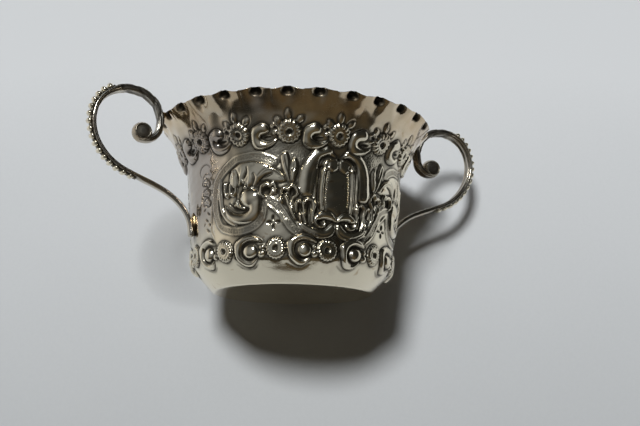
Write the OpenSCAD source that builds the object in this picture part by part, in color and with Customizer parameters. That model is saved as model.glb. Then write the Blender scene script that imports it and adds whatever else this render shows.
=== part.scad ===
// Two-handled silver sugar bowl: a raised and chased shell with a crimped,
// flared rim, and a scroll handle soldered on at either side.
// It stands on its flat base, +Z up, with the handles along X.
// The origin is the centre of the underside of the base. Millimetres.

/* [Bowl] */
// Diameter across the crests of the rim
rim_d = 97; // [85:0.5:118]
// Height from the table to the crests of the rim
bowl_h = 60; // [50:0.5:75]
// Diameter of the wall where the flare leaves it
waist_top_d = 76; // [66:0.5:80]
// Diameter of the wall just above the chamfer
waist_low_d = 69.6; // [60:0.2:76]
// Diameter of the flat base
base_d = 55; // [44:0.5:60]
// Height of the corner between the chamfer and the wall
chamfer_h = 7.6; // [5:0.2:12]
// Height of the flare, from where it leaves the wall up to the rim
flare_h = 20; // [16:0.5:26]
// Radius of the bend between the wall and the flare
flare_r = 15; // [8:0.5:18]
// Rounding of the corner between the chamfer and the wall
knuckle_r = 4; // [2:0.5:6]
// Rounding of the corner round the base
base_edge_r = 1.4; // [1.2:0.1:2.5]
// Thickness of the silver sheet
sheet_t = 0.8; // [0.5:0.05:1.1]

/* [Crimped rim] */
// Number of crests round the rim
crest_count = 28; // [20:1:32]
// How far the edge dips between two crests
dip_depth = 0.8; // [0.3:0.1:1.6]
// Radius of the punch that sinks the hollow under each crest
punch_r = 2.2; // [1.6:0.1:3]
// Depth of each hollow
hollow_depth = 1.0; // [0.4:0.1:1.5]
// Distance from the edge down to the middle of each hollow
hollow_drop = 2.1; // [1.6:0.1:3.5]

/* [Handles] */
// Thickness of the bar in the handle's plane, at its thickest
bar_t = 2.8; // [2:0.1:3.6]
// Width of the bar across the handle's plane, at its widest
bar_w = 5.4; // [3.5:0.1:7]
// Radius of the ball at the inner end of the scroll
ball_r = 3.5; // [2.6:0.1:4.4]
// Width of the ball between its two flat faces
ball_w = 5.6; // [4:0.1:6.5]
// Height of the lower end of the bar above the table
foot_z = 18; // [13:0.5:22]
// Gap between a bar and the bowl, which the solder fills
solder_gap = 0.35; // [0.2:0.05:0.6]

/* [Beading] */
// Number of beads down the back of each handle
bead_count = 16; // [10:1:19]
// Radius of the largest bead
bead_r = 1.05; // [0.7:0.05:1.2]
// Thickness of the strip that carries the beads
strip_t = 0.5; // [0.3:0.05:0.8]

/* [Hidden] */

rim_r = rim_d / 2;
waist_top_r = waist_top_d / 2;
waist_low_r = waist_low_d / 2;
base_r = base_d / 2;
flare_z = bowl_h - flare_h;
// Share of the way from crest to crest that a dip takes
dip_share = 0.86;
arc_steps = 8;
round_fn = 96;

// The outer line of the sheet runs base, chamfer, wall, bend, flare
wall_tilt = atan2(waist_top_r - waist_low_r, flare_z - chamfer_h);
chamfer_tilt = atan2(waist_low_r - base_r, chamfer_h);
bend_centre = [waist_top_r + flare_r * cos(wall_tilt), flare_z - flare_r * sin(wall_tilt)];
rim_reach = [rim_r, bowl_h] - bend_centre;
flare_tilt = acos(-flare_r / norm(rim_reach)) - atan2(rim_reach[1], rim_reach[0]);

// Outward normal of a stretch that leans out from upright by tilt
function lean_normal(tilt) = [cos(tilt), -sin(tilt)];

// Point where two stretches meet, both moved inwards by inset
function inset_corner(corner, tilt_a, tilt_b, inset) =
    let (na = lean_normal(tilt_a), nb = lean_normal(tilt_b),
         half = (na + nb) / norm(na + nb))
    corner - half * inset / (half * na);

// Arc of radius r that rounds an outward corner between two leans
function rounded_corner(corner, tilt_a, tilt_b, r) =
    let (centre = inset_corner(corner, tilt_a, tilt_b, r))
    [for (i = [0 : arc_steps])
        centre + r * lean_normal(tilt_a + (tilt_b - tilt_a) * i / arc_steps)];

// Line of the sheet from the axis to the rim, moved inwards by inset
function sheet_line(inset) = concat(
    [[0, inset]],
    rounded_corner(inset_corner([base_r, 0], 90, chamfer_tilt, inset),
        90, chamfer_tilt, base_edge_r - inset),
    rounded_corner(inset_corner([waist_low_r, chamfer_h], chamfer_tilt, wall_tilt, inset),
        chamfer_tilt, wall_tilt, knuckle_r - inset),
    [for (i = [0 : arc_steps])
        bend_centre - (flare_r + inset)
            * lean_normal(wall_tilt + (flare_tilt - wall_tilt) * i / arc_steps)],
    [[rim_r - inset / cos(flare_tilt), bowl_h]]);

// Outer radius of the wall at height z, between the chamfer and the flare
function wall_r_at(z) = waist_low_r + (z - chamfer_h) * tan(wall_tilt);

// Everything inside the outer face of the sheet, grown outwards by grow
module bowl_blank(grow = 0) {
    outer = sheet_line(-grow);
    rotate_extrude($fn = round_fn)
        polygon(concat(outer, [[0, outer[len(outer) - 1][1]]]));
}

module bowl_shell() {
    rotate_extrude($fn = round_fn)
        polygon(concat(sheet_line(0), reversed(sheet_line(sheet_t))));
}

function reversed(list) = [for (i = [len(list) - 1 : -1 : 0]) list[i]];

// Punch balls under the crests; hollow and bump share the ball's centre
module punches(r) {
    out = punch_r - hollow_depth;
    spot = [rim_r, bowl_h] - hollow_drop * [sin(flare_tilt), cos(flare_tilt)]
        + out * lean_normal(flare_tilt);
    for (i = [0 : crest_count - 1])
        rotate(i * 360 / crest_count)
            translate([spot[0], 0, spot[1]]) sphere(r, $fn = 32);
}

// Wide drums that file the dips into the edge, one between two crests
module edge_dips() {
    half_dip = dip_share * rim_r * sin(180 / crest_count);
    drum_r = (half_dip * half_dip + dip_depth * dip_depth) / (2 * dip_depth);
    drum_h = 10 * sheet_t;
    for (i = [0 : crest_count - 1])
        rotate((i + 0.5) * 360 / crest_count)
            translate([rim_r - drum_h / 2, 0, bowl_h - dip_depth + drum_r])
                rotate([0, 90, 0]) cylinder(r = drum_r, h = drum_h, $fn = 64);
}

module bowl_body() {
    color([0.80, 0.78, 0.74])
        difference() {
            union() {
                bowl_shell();
                intersection() {
                    punches(punch_r + sheet_t);
                    bowl_blank();
                }
            }
            punches(punch_r);
            edge_dips();
        }
}

// Course of a handle's bar in its plane, from the ball round to the foot.
// The loop hangs on the rim; the stem runs on between the loop and the foot.
loop_points = [[8, -10.4], [4.9, -10.4], [2.2, -8.4], [1.1, -4.6], [1.7, -0.4],
    [3.6, 3], [7, 5.5], [11.5, 6.6], [16.4, 5.9], [20.6, 3.3], [23.2, -1],
    [23.9, -6.4], [22.6, -12], [19.4, -17], [15, -20.8]];
stem_shares = [[0.79, 0.88], [0.55, 0.77], [0.33, 0.64], [0.15, 0.46], [0.04, 0.24]];
loop_course = [for (p = loop_points) [rim_r, bowl_h] + p];
loop_end = loop_course[len(loop_course) - 1];

// Thickness and width of the bar, as shares of the full ones, along the course
taper = [[0, 0.85, 0.8], [0.2, 0.95, 0.86], [0.34, 1, 1], [0.5, 0.86, 0.84],
    [0.7, 0.8, 0.74], [0.82, 0.68, 0.52], [1, 0.6, 0.46]];
foot_t = bar_t * taper[len(taper) - 1][1];
foot_point = [wall_r_at(foot_z) + solder_gap + foot_t / 2, foot_z];
stem_reach = loop_end - foot_point;
stem_course = [for (s = stem_shares)
    foot_point + [s[0] * stem_reach[0], s[1] * stem_reach[1]]];
course = concat(loop_course, stem_course, [foot_point]);
span_steps = 4;
last_span = len(course) - 2;

function spline(a, b, c, d, t) = 0.5 * (2 * b + (c - a) * t
    + (2 * a - 5 * b + 4 * c - d) * t * t + (3 * b - a - 3 * c + d) * t * t * t);
function course_at(i) = course[max(0, min(len(course) - 1, i))];
path = concat([for (i = [0 : last_span], j = [0 : span_steps - 1])
    spline(course_at(i - 1), course_at(i), course_at(i + 1), course_at(i + 2), j / span_steps)],
    [foot_point]);
path_end = len(path) - 1;

// Direction along the bar, and the way out of the loop, at path point i
function along(i) = let (d = path[min(i + 1, path_end)] - path[max(i - 1, 0)]) d / norm(d);
function back(i) = let (a = along(i)) [-a[1], a[0]];

// Thickness and width of the bar at path point i
function bar_thick(i) = bar_t * lookup(i / path_end, [for (k = taper) [k[0], k[1]]]);
function bar_wide(i) = bar_w * lookup(i / path_end, [for (k = taper) [k[0], k[2]]]);

// Ring of a swept bar at path point i: corners are [out of the loop, across]
function ring(i, corners) = [for (c = corners)
    let (p = path[i] + back(i) * c[0]) [p[0], c[1], p[1]]];

// The bar has a flat back for the beading, soft sides and a rounded front
function bar_ring(i) =
    let (t = bar_thick(i) / 2, w = bar_wide(i) / 2)
    ring(i, [[t, 0.6 * w], [0.6 * t, 0.92 * w], [-0.1 * t, w], [-0.7 * t, 0.8 * w],
        [-t, 0.3 * w], [-t, -0.3 * w], [-0.7 * t, -0.8 * w], [-0.1 * t, -w],
        [0.6 * t, -0.92 * w], [t, -0.6 * w]]);

function strip_ring(i) =
    let (t = bar_thick(i) / 2, w = 0.55 * bar_wide(i) / 2)
    ring(i, [[t, w], [t, -w], [t + strip_t, -0.8 * w], [t + strip_t, 0.8 * w]]);

// Closed solid through a list of rings, each with the same number of points
module swept(rings) {
    sides = len(rings[0]);
    last = len(rings) - 1;
    walls = [for (i = [0 : last - 1], j = [0 : sides - 1])
        let (k = (j + 1) % sides)
        [i * sides + j, i * sides + k, (i + 1) * sides + k, (i + 1) * sides + j]];
    first_cap = [for (j = [sides - 1 : -1 : 0]) j];
    last_cap = [for (j = [0 : sides - 1]) last * sides + j];
    polyhedron([for (r = rings) each r], concat([first_cap], walls, [last_cap]), convexity = 8);
}

module bar_blank() {
    swept([for (i = [0 : path_end]) bar_ring(i)]);
}

// Lens with a rounded edge and two flat faces, its axis across the handle
ball_centre = [rim_r + 7.2, bowl_h - 8.2];
module ball_blank(grow = 0) {
    translate([ball_centre[0], 0, ball_centre[1]])
        rotate([90, 0, 0])
            intersection() {
                sphere(ball_r + grow, $fn = round_fn);
                cylinder(r = 2 * ball_r, h = ball_w + 2 * grow, center = true, $fn = round_fn);
            }
}

// Each piece is drawn at the right, and the left one is turned half round
module at_side(side) {
    rotate(side == "left" ? 180 : 0) children();
}

module handle_bar(side) {
    color([0.74, 0.72, 0.68])
        at_side(side)
            difference() {
                bar_blank();
                bowl_blank(solder_gap);
                ball_blank();
            }
}

module volute_ball(side) {
    color([0.62, 0.60, 0.55]) at_side(side) ball_blank();
}

// The beads shrink from the top of the loop towards the stem
first_bead = round(path_end * 0.42);
last_bead = round(path_end * 0.745);
module beading(side) {
    color([0.84, 0.83, 0.80])
        at_side(side) {
            swept([for (i = [first_bead - 1 : last_bead + 1]) strip_ring(i)]);
            for (b = [0 : bead_count - 1]) {
                share = b / (bead_count - 1);
                i = round(first_bead + share * (last_bead - first_bead));
                r = bead_r * (1 - 0.3 * share);
                spot = path[i] + back(i) * (bar_thick(i) / 2 + strip_t / 2);
                translate([spot[0], 0, spot[1]])
                    rotate([0, 90 - atan2(back(i)[1], back(i)[0]), 0])
                        bead(r);
            }
        }
}

// Half ball, flat side down
module bead(r) {
    rotate_extrude($fn = 32)
        intersection() {
            circle(r, $fn = 32);
            square(r);
        }
}

// Solder drop in the gap between the bar and the crest of the rim
drop_r = 1.3;
drop_down = 1.2;
module rim_solder(side) {
    color([0.86, 0.80, 0.62])
        at_side(side)
            difference() {
                translate([rim_r + solder_gap, 0, bowl_h - drop_down]) sphere(drop_r, $fn = 32);
                bar_blank();
                bowl_blank();
            }
}

// Solder patch in the gap between the foot of the bar and the wall
patch_h = 8;
patch_w = 0.6 * bar_w;
module foot_solder(side) {
    color([0.83, 0.70, 0.42])
        at_side(side)
            difference() {
                intersection() {
                    bowl_blank(solder_gap);
                    translate([wall_r_at(foot_z), 0, foot_z + patch_h / 2])
                        rotate([0, 90, 0])
                            cylinder(r = patch_h / 2, h = patch_h, center = true, $fn = round_fn);
                    translate([wall_r_at(foot_z), 0, foot_z + patch_h / 2])
                        cube([patch_h, patch_w, patch_h + 1], center = true);
                }
                bowl_blank();
            }
}

bowl_body();
handle_bar("left");  // left_handle_bar
handle_bar("right");  // right_handle_bar
volute_ball("left");  // left_volute_ball
volute_ball("right");  // right_volute_ball
beading("left");  // left_beading
beading("right");  // right_beading
rim_solder("left");  // left_rim_solder
rim_solder("right");  // right_rim_solder
foot_solder("left");  // left_foot_solder
foot_solder("right");  // right_foot_solder
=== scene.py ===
import math

import bmesh
import bpy
import numpy as np
from mathutils import Matrix, Vector


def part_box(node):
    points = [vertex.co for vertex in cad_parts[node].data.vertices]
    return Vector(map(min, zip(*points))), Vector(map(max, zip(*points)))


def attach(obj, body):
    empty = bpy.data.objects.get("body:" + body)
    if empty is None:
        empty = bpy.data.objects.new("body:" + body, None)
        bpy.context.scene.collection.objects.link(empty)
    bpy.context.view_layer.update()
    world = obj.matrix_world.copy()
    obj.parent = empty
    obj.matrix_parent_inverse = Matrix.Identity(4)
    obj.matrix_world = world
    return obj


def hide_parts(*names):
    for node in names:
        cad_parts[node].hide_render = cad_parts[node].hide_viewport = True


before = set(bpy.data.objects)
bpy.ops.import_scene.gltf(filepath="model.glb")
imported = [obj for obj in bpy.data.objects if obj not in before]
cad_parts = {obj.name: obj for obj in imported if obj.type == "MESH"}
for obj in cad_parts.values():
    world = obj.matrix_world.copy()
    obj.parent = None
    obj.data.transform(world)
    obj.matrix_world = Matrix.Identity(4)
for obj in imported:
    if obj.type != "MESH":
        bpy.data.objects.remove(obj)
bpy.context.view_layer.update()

mm = 0.001
turn = 2 * math.pi
bowlTop = np.array(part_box("bowl_body")[1]) / mm
print("frame loaded, rim radius", round(bowlTop[1], 2), "height", round(bowlTop[2], 2))


def smoothLine(points, steps=8, closed=False):
    # Catmull-Rom through given points, in millimetres
    p = np.array(points, float)
    line = []
    for i in range(len(p) if closed else len(p) - 1):
        near = range(i - 1, i + 3)
        a, b, c, d = (p[k % len(p)] if closed else p[min(max(k, 0), len(p) - 1)] for k in near)
        for t in np.arange(steps) / steps:
            line.append(0.5 * (2 * b + (c - a) * t + (2 * a - 5 * b + 4 * c - d) * t * t
                               + (3 * b - a - 3 * c + d) * t ** 3))
    line.append(p[0] if closed else p[-1])
    return np.array(line)


def travelled(line):
    # how far along a line each of its points lies
    return np.concatenate([[0], np.cumsum(np.linalg.norm(np.diff(line, axis=0), axis=1))])


def ease(x, low, high):
    t = np.clip((x - low) / (high - low), 0, 1)
    return t * t * (3 - 2 * t)


def fade(x, full, gone):
    return ease(-x, -gone, -full)


def lean(tilt):
    return np.array([math.cos(tilt), -math.sin(tilt)])


# the bowl's section runs from the middle of the base up to the rim
bowl = {
    "rimRadius": bowlTop[1], "height": bowlTop[2],
    "baseRadius": 27.5, "baseEdge": 1.4,
    "kneeRadius": 34.8, "kneeHeight": 7.6, "kneeRound": 4.0,
    "waistRadius": 38.0, "waistHeight": 40.0, "flareBend": 15.0,
    "sheet": 0.8,
    "lip": 0.22,               # the rim's edge is rubbed round
    "columns": 372,            # round half of the bowl
    "girth": 36.5,             # radius at which the ornament is laid out
    "panelShift": 0.8,         # the panel stands a little beside the front
    "baseSpacing": 3.6,        # between rows on the plain base
    # (height, spacing between rows) on the outside and the inside
    "outerSpacing": [(0, 0.8), (3.5, 0.6), (4.5, 0.31), (47, 0.31), (53, 0.44), (60, 0.36)],
    "innerSpacing": [(0.8, 2.2), (6, 1.3), (50, 1.35), (56, 0.9), (60, 0.55)],
}


def arc(centre, radius, start, end, steps):
    return [centre + radius * lean(start + (end - start) * i / steps) for i in range(steps + 1)]


def insetCorner(corner, tiltA, tiltB, inset):
    half = lean(tiltA) + lean(tiltB)
    half = half / np.linalg.norm(half)
    return np.array(corner) - half * inset / half.dot(lean(tiltA))


def sheetLine(inset):
    b = bowl
    wallTilt = math.atan2(b["waistRadius"] - b["kneeRadius"], b["waistHeight"] - b["kneeHeight"])
    legTilt = math.atan2(b["kneeRadius"] - b["baseRadius"], b["kneeHeight"])
    bend = np.array([b["waistRadius"] + b["flareBend"] * math.cos(wallTilt),
                     b["waistHeight"] - b["flareBend"] * math.sin(wallTilt)])
    reach = np.array([b["rimRadius"], b["height"]]) - bend
    flareTilt = (math.acos(-b["flareBend"] / np.linalg.norm(reach))
                 - math.atan2(reach[1], reach[0]))
    baseCorner = insetCorner((b["baseRadius"], 0), math.pi / 2, legTilt, b["baseEdge"])
    kneeCorner = insetCorner((b["kneeRadius"], b["kneeHeight"]), legTilt, wallTilt, b["kneeRound"])
    line = [np.array([0, inset])]
    line += arc(baseCorner, b["baseEdge"] - inset, math.pi / 2, legTilt, 8)
    line += arc(kneeCorner, b["kneeRound"] - inset, legTilt, wallTilt, 16)
    line += arc(bend, -(b["flareBend"] + inset), wallTilt, flareTilt, 16)
    line.append(np.array([b["rimRadius"] - inset / math.cos(flareTilt), b["height"]]))
    return np.array(line), flareTilt


outerLine, flareTilt = sheetLine(0)
innerLine = sheetLine(bowl["sheet"])[0]


def rowsAlong(line, spacings):
    # points along the section at the spacing wanted at each height
    travel = travelled(line)
    fine = np.linspace(0, travel[-1], 20000)
    r, z = np.interp(fine, travel, line[:, 0]), np.interp(fine, travel, line[:, 1])
    spacing = np.interp(z, *zip(*spacings))
    onBase = (z < line[0, 1] + 0.02) & (r < bowl["baseRadius"] - 3)
    spacing = np.where(onBase, bowl["baseSpacing"], spacing)
    count = np.concatenate([[0], np.cumsum(np.diff(fine) / spacing[1:])])
    total = int(round(count[-1]))
    pick = np.interp(np.arange(total + 1) / total * count[-1], count, fine)
    rows = np.stack([np.interp(pick, travel, line[:, k]) for k in (0, 1)], 1)
    rows[-1] -= [bowl["lip"] * math.sin(flareTilt), bowl["lip"]]
    return rows


outerRows = rowsAlong(outerLine, bowl["outerSpacing"])
innerRows = rowsAlong(innerLine, bowl["innerSpacing"])
outerEdge, innerEdge = outerRows[-1], innerRows[-1]
edgeRows = np.array([outerEdge - [0.09, 0.05], outerEdge - [0.25, 0], innerEdge + [0.25, 0],
                     innerEdge + [0.09, -0.05]])
section = np.concatenate([outerRows, edgeRows, innerRows[::-1]])
# 0 on the outside, 1 on the inside
sideOf = np.concatenate([np.zeros(len(outerRows)), [0.1, 0.3, 0.7, 0.9], np.ones(len(innerRows))])
print("section points", len(section), "triangles in half", 2 * len(section) * bowl["columns"])

# the chased ornament is drawn as a sheet of heights in millimetres
# across: distance round the bowl from the middle of the front panel; up: height above the base
cell = 0.12
girthLength = turn * bowl["girth"]
traced = {"line": 0.34, "cleared": 0.4, "under": 0.35}    # how a form is cut round and what it covers


class Canvas:
    # a strip of the wall on which raised forms and cuts are drawn
    def __init__(self, left, right, wraps=False):
        self.left, self.wraps = left, wraps
        self.columns = int(round((right - left) / cell))
        self.rows = int(round(60.0 / cell))
        self.raised, self.cutAway, self.matted = np.zeros((3, self.rows, self.columns))

    def window(self, points, margin):
        low, high = points.min(0) - margin, points.max(0) + margin
        i0 = max(int(low[1] / cell), 0)
        i1 = min(int(high[1] / cell) + 2, self.rows)
        j0, j1 = int(math.floor((low[0] - self.left) / cell)), int((high[0] - self.left) / cell) + 2
        if not self.wraps:
            j0, j1 = max(j0, 0), min(j1, self.columns)
        rows, columns = np.arange(i0, i1), np.arange(j0, j1)
        across, up = np.meshgrid(self.left + (columns + 0.5) * cell, (rows + 0.5) * cell)
        return np.ix_(rows, columns % self.columns), across, up

    def reach(self, line, across, up):
        # distance to a line, and how far along it the nearest point is, 0 to 1
        a, b = line[:-1], line[1:]
        d = b - a
        length = np.maximum((d * d).sum(1), 1e-9)
        best = np.full(across.shape, 1e9)
        where = np.zeros(across.shape)
        run = np.concatenate([[0], np.cumsum(np.sqrt(length))])
        for k in range(len(a)):
            t = np.clip(((across - a[k, 0]) * d[k, 0] + (up - a[k, 1]) * d[k, 1]) / length[k], 0, 1)
            gap = (across - a[k, 0] - t * d[k, 0]) ** 2 + (up - a[k, 1] - t * d[k, 1]) ** 2
            near = gap < best
            best = np.where(near, gap, best)
            where = np.where(near, (run[k] + t * math.sqrt(length[k])) / run[-1], where)
        return np.sqrt(best), where

    def stroke(self, points, width, height, power, layer, closed=False):
        # width is one number or several along the line
        line = smoothLine(points, 6, closed)
        widths = np.atleast_1d(np.array(width, float))
        spot, across, up = self.window(line, widths.max())
        gap, where = self.reach(line, across, up)
        half = np.interp(where, np.linspace(0, 1, len(widths)), widths) / 2
        swell = np.clip(1 - (gap / np.maximum(half, 1e-3)) ** 2, 0, 1) ** power
        layer[spot] = np.maximum(layer[spot], height * swell)

    def rib(self, points, width, height, flat=1.0, closed=False):
        self.stroke(points, width, height, 0.5 * flat, self.raised, closed)

    def groove(self, points, width, depth):
        self.stroke(points, width, depth, 1, self.cutAway)

    def inside(self, line, across, up):
        hit = np.zeros(across.shape, bool)
        for (x0, y0), (x1, y1) in zip(line[:-1], line[1:]):
            if abs(y1 - y0) < 1e-12:
                continue
            crosses = ((up >= y0) & (up < y1)) | ((up >= y1) & (up < y0))
            hit ^= crosses & (across < (x1 - x0) * (up - y0) / (y1 - y0) + x0)
        return hit

    def form(self, points, height, edge, outline=0.12):
        # pillowed shape inside a traced outline; it covers what lies under it
        line = smoothLine(points, 6, True)
        spot, across, up = self.window(line, 1.2)
        gap, hit = self.reach(line, across, up)[0], self.inside(line, across, up)
        pillow = height * np.sqrt(1 - (1 - np.clip(gap / edge, 0, 1)) ** 2)
        cut, under = self.cutAway[spot], self.raised[spot]
        cut = np.where(hit, cut * np.clip(1 - gap / traced["cleared"], 0, 1), cut)
        around = np.clip(1 - (gap / traced["line"]) ** 2, 0, 1) * outline
        self.cutAway[spot] = np.maximum(cut, around)
        self.raised[spot] = np.where(hit, np.maximum(pillow, under * traced["under"]), under)

    def blob(self, centre, radii, height, angle=0.0, power=0.5):
        self.dab(centre, radii, height, angle, power, self.raised)

    def pit(self, centre, radii, depth, angle=0.0, power=1.0):
        self.dab(centre, radii, depth, angle, power, self.cutAway)

    def dab(self, centre, radii, height, angle, power, layer):
        spot, across, up = self.window(np.array([centre], float), max(radii))
        c, s = math.cos(math.radians(angle)), math.sin(math.radians(angle))
        x, y = across - centre[0], up - centre[1]
        q = ((x * c + y * s) / radii[0]) ** 2 + ((y * c - x * s) / radii[1]) ** 2
        layer[spot] = np.maximum(layer[spot], height * np.clip(1 - q, 0, 1) ** power)

    def mat(self, points, strength):
        line = smoothLine(points, 6, True)
        spot, across, up = self.window(line, 0.5)
        self.matted[spot] = np.maximum(self.matted[spot], strength * self.inside(line, across, up))

    def matLine(self, points, width):
        line = smoothLine(points, 6)
        spot, across, up = self.window(line, width)
        gap = self.reach(line, across, up)[0]
        self.matted[spot] = np.maximum(self.matted[spot], fade(gap, width / 2 - 0.2, width / 2))


# one quarter of the middle band: 0 is the panel's middle, the handle stands at the far end
quarter = Canvas(0, girthLength / 4)


def drawScroll(q):
    # stippled C-scroll with thin smooth rims
    band = [(20.5, 37.7), (22.7, 39.1), (26.4, 40.2), (30.3, 40.3), (33.9, 39.6), (36.7, 37.7),
            (39.5, 35.3), (41.4, 32.7), (42.3, 29), (42.6, 25), (41.9, 21.3), (40.2, 18.3),
            (37, 17), (33.3, 16.3), (29.6, 16.7), (27.4, 17.6), (25.7, 19.1), (24.5, 21.2),
            (24.3, 24), (24.7, 25.9)]
    tail = [(23.4, 26.3), (20.3, 25), (18.3, 22.5), (16.3, 19.5), (14.3, 17), (12.3, 15.5),
            (9.3, 14.8), (6.3, 14.6)]
    for line, width in ((band, 2.3), (tail, 2.0)):
        q.groove(line, width + 1.3, 0.18)
        q.rib(line, width, 0.30, 0.35)
        q.matLine(line, width - 0.5)
        dense = smoothLine(line, 6)
        run = np.gradient(dense, axis=0)
        side = np.stack([-run[:, 1], run[:, 0]], 1) / np.linalg.norm(run, axis=1)[:, None]
        for way in (-1, 1):
            q.rib(dense[::4] + way * side[::4] * (width / 2 - 0.05), 0.5, 0.46)
    q.rib([(40.0, 33.5), (40.3, 30), (40.2, 27), (39.7, 24), (38.2, 21.4), (36.3, 19.6), (34, 18.3)],
          [0.8, 1.5, 1.5, 0.8], 0.55)
    q.rib([(22.8, 24.4), (19.3, 21.2), (17.3, 18.2), (15.3, 15.8), (12.3, 13.9)], 0.8, 0.45)
    q.rib([(23.1, 24.6), (23.6, 22), (23.9, 19.8)], 0.8, 0.4)


def drawAcanthus(q):
    # broad leaf that turns over inside the scroll
    q.form([(36.6, 32.6), (35.6, 36.0), (33, 38.0), (30.3, 38.8), (26.3, 38.6), (23, 37.6),
            (20.6, 35.9), (18.6, 33.7), (17.0, 31.6), (18.8, 31.0), (21.5, 31.4), (24, 32.0),
            (26.0, 31.6), (27.2, 30.4), (29, 30.8), (31, 31.8), (33, 30.6), (35, 30.4)],
           0.75, 1.6)
    for spine in ([(33.7, 36.2), (33.1, 33.5), (33.2, 30.6)], [(29.7, 36.8), (29.9, 35), (30.9, 33)],
                  [(27.3, 34.6), (27.0, 33), (27.8, 30.9)]):
        q.groove(spine, [0.6, 1.5, 0.9], 0.6)
    for ridge in ([(35.0, 36.3), (34.6, 33.5), (34.7, 30.5)], [(31.3, 37), (31.6, 35), (32.4, 32.4)],
                  [(28.6, 35.6), (28.5, 33.4), (29.2, 31)]):
        q.rib(ridge, [0.5, 1.3, 0.8], 1.0)
    q.rib([(25.8, 33.2), (24, 34.9), (22.3, 35.6), (20.3, 35.2), (18.4, 33.8), (16.9, 31.8)],
          [0.5, 1.0, 0.6], 1.1)
    q.groove([(25.4, 32.2), (23.4, 33.3), (21.1, 34.1)], [0.7, 1.7, 0.7], 0.6)
    for k in range(3):
        q.groove([(28.6 - 0.65 * k, 37.6 + 0.15 * k), (28.1 - 0.65 * k, 36.8 + 0.15 * k)], 0.32, 0.25)
    for spot in ((30.9, 32.1), (30.2, 31.2), (29.2, 30.7), (28.2, 30.0), (30.6, 30.3)):
        q.blob(spot, (0.5, 0.42), 0.8)
    for loop in ([(38.2, 32.0), (38.1, 28.8), (37.2, 27.6), (36.3, 28.6), (36.2, 31.5)],
                 [(36.2, 31.4), (35.9, 28.9), (35.0, 27.9), (34.1, 28.9), (34.0, 30.8)]):
        q.rib(loop, 0.75, 0.85)
    q.pit((37.2, 29.4), (0.6, 1.5), 0.5)
    q.pit((35.0, 29.6), (0.6, 1.4), 0.5)


def drawTeardrop(q):
    # round head with a tail that sweeps under it
    q.form([(25.2, 26.4), (26.4, 28.9), (28.9, 29.8), (31.3, 29.0), (32.1, 26.9), (31.3, 24.9),
            (29.7, 23.9), (29.5, 22.8), (31.4, 21.7), (34.3, 22.1), (36.8, 23.7), (38.2, 25.0),
            (37.9, 21.9), (36.0, 19.7), (33.3, 18.6), (29.8, 18.4), (27.0, 19.6), (25.5, 22)],
           1.25, 3.0)
    q.blob((28.7, 26.8), (3.9, 3.5), 1.55, 0, 0.85)
    q.rib([(33.7, 26.4), (33.0, 24.4), (30.9, 23.4)], [0.6, 1.1, 0.6], 0.85)
    q.groove([(36.2, 25.2), (34.4, 23.8), (32.4, 23.1), (30.3, 23.0)], [0.8, 1.4, 1.1, 0.6], 0.7)
    q.groove([(33.9, 28.2), (34.1, 26), (35.2, 24.8)], [0.6, 1.2, 0.6], 0.6)
    # curled bud beside the head
    q.rib([(20.0, 27.8), (19.8, 29.6), (20.8, 31.0), (22.1, 30.3), (23.1, 30.9), (24.6, 30.4),
           (25.1, 28.9), (24.8, 27.5), (23.7, 26.7)], [0.7, 1.1, 1.1, 0.7], 0.95)
    q.pit((22.7, 28.6), (1.7, 1.3), 0.6)
    q.blob((21.2, 28.2), (0.8, 1.2), 0.6)


def drawCross(q):
    # four punched petals
    for k in range(4):
        a = k * turn / 4
        q.pit((20.9 + 1.35 * math.cos(a), 18.7 + 1.35 * math.sin(a)), (1.15, 0.55), 0.6, 90 * k, 0.8)


def drawPanel(q):
    # plain barrel panel between upright ribs
    q.form([(-3.4, 36.6), (0, 37.2), (3.4, 36.6), (4.3, 33), (4.6, 28), (4.4, 22.6), (3.2, 21.4),
            (0, 20.4), (-3.2, 21.4), (-4.4, 22.6), (-4.6, 28), (-4.3, 33)], 0.34, 3.4, 0.2)
    q.groove([(4.45, 36.2), (4.75, 31), (4.65, 23.2)], 0.55, 0.32)
    q.rib([(5.0, 36.6), (5.35, 33), (5.45, 28), (5.1, 22.8)], [1.2, 1.5, 1.5, 1.2], 0.8)
    q.groove([(6.3, 36.6), (6.75, 32), (6.75, 27), (6.3, 23)], [1.2, 1.5, 1.5, 1.1], 0.7)
    q.pit((5.9, 36.5), (1.1, 0.75), 0.95)
    q.rib([(7.45, 36.0), (7.6, 31), (7.5, 25.4)], [0.5, 0.8, 0.7], 0.55)
    q.blob((7.2, 24.2), (0.55, 1.3), 1.0, 8)


def drawPanelLeaf(q):
    # big plain leaf that clasps the panel; it rises gently to a crisp outer edge
    q.form([(0.1, 40.0), (1.9, 41.6), (3.3, 43.2), (4.4, 43.5), (6.3, 42.2), (7.8, 42.0), (9.4, 40.5),
            (10.9, 38), (12.1, 35), (12.6, 31), (12.7, 28.0), (11.2, 27.0), (9.4, 26.9), (8.1, 27.6),
            (7.9, 30), (7.6, 34), (7.0, 37.4), (5.9, 39.7), (3.8, 40.7), (1.9, 40.4)],
           0.55, 1.5, 0.25)
    q.rib([(3.2, 42.2), (5.2, 41.3), (7.2, 40.4), (8.8, 38.6), (9.9, 36.4), (10.7, 33.6), (10.9, 30.6),
           (10.9, 28.6)], [1.5, 3.2, 3.5, 3.4], 0.85, 1.1)
    q.rib([(6.4, 42.0), (7.9, 41.7), (9.5, 40.1), (10.9, 37.6), (12.0, 34.8), (12.5, 31), (12.6, 28.6)],
          [0.3, 0.6, 0.6, 0.5], 0.72)
    q.groove([(7.0, 37.6), (7.55, 34), (7.8, 30), (8.1, 27.4)], [0.6, 0.9, 0.7], 0.35)


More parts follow.
